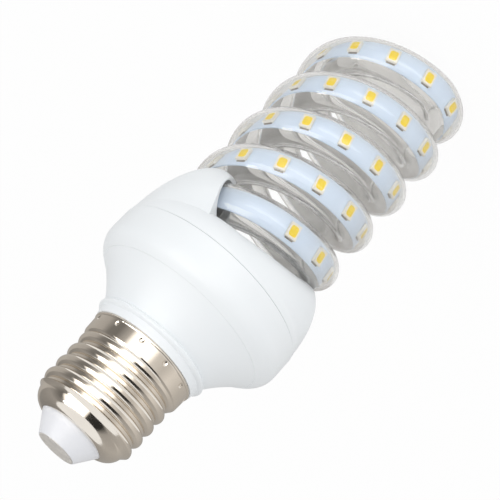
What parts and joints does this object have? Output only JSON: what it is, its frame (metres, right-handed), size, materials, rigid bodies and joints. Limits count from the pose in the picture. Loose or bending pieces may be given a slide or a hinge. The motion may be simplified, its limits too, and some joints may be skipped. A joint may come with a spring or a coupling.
{
  "type": "led light bulb",
  "caption": "Clear double-spiral LED bulb: a wound glass tube with LED strips inside, a hooded white housing that holds the driver, and a screw cap.",
  "frame": {"origin": "on the axis, at the outside of the flat crossing at the head of the spiral, on which the bulb stands", "axes": "+Z along the axis from the spiral's head to the screw cap, -Y towards the side that shows the first LEDs of one leg, +X to that side's right"},
  "size_m": [0.0506, 0.0506, 0.1273],
  "materials": {
    "nickel_shell": "polished nickel plate",
    "white_insulator": "gloss",
    "grey_contact": "dull",
    "white_housing": "satin",
    "clear_glass": "clear",
    "pale_strip": "satin",
    "led_body": "satin",
    "led_phosphor": "gloss",
    "solder": "reflowed",
    "silicone": "translucent",
    "board": "solder resist",
    "capacitor_can": "drawn",
    "dark_sleeve": "gloss",
    "film_capacitor": "gloss",
    "ferrite": "sintered",
    "copper": "enamelled",
    "black_package": "moulded",
    "resistor_body": "coated",
    "tinned_wire": "tinned"
  },
  "bodies": {
    "root": {"screw_shell": "nickel_shell", "cap_insulator": "white_insulator", "centre_contact": "grey_contact", "lower_housing": "white_housing", "upper_cover": "white_housing", "spiral_tube": "clear_glass", "led_strip_a": "pale_strip", "led_strip_b": "pale_strip", "led_packages": "led_body", "led_phosphors": "led_phosphor", "led_solder": "solder", "tube_bond": "silicone", "driver_board": "board", "bulk_capacitor": "capacitor_can", "bulk_capacitor_sleeve": "dark_sleeve", "line_capacitor": "film_capacitor", "choke_core": "ferrite", "choke_winding": "copper", "bridge_rectifier": "black_package", "driver_chip": "black_package", "fuse_resistor": "resistor_body", "live_lead": "tinned_wire", "neutral_lead": "tinned_wire", "strip_leads": "tinned_wire"}
  },
  "joints": []
}
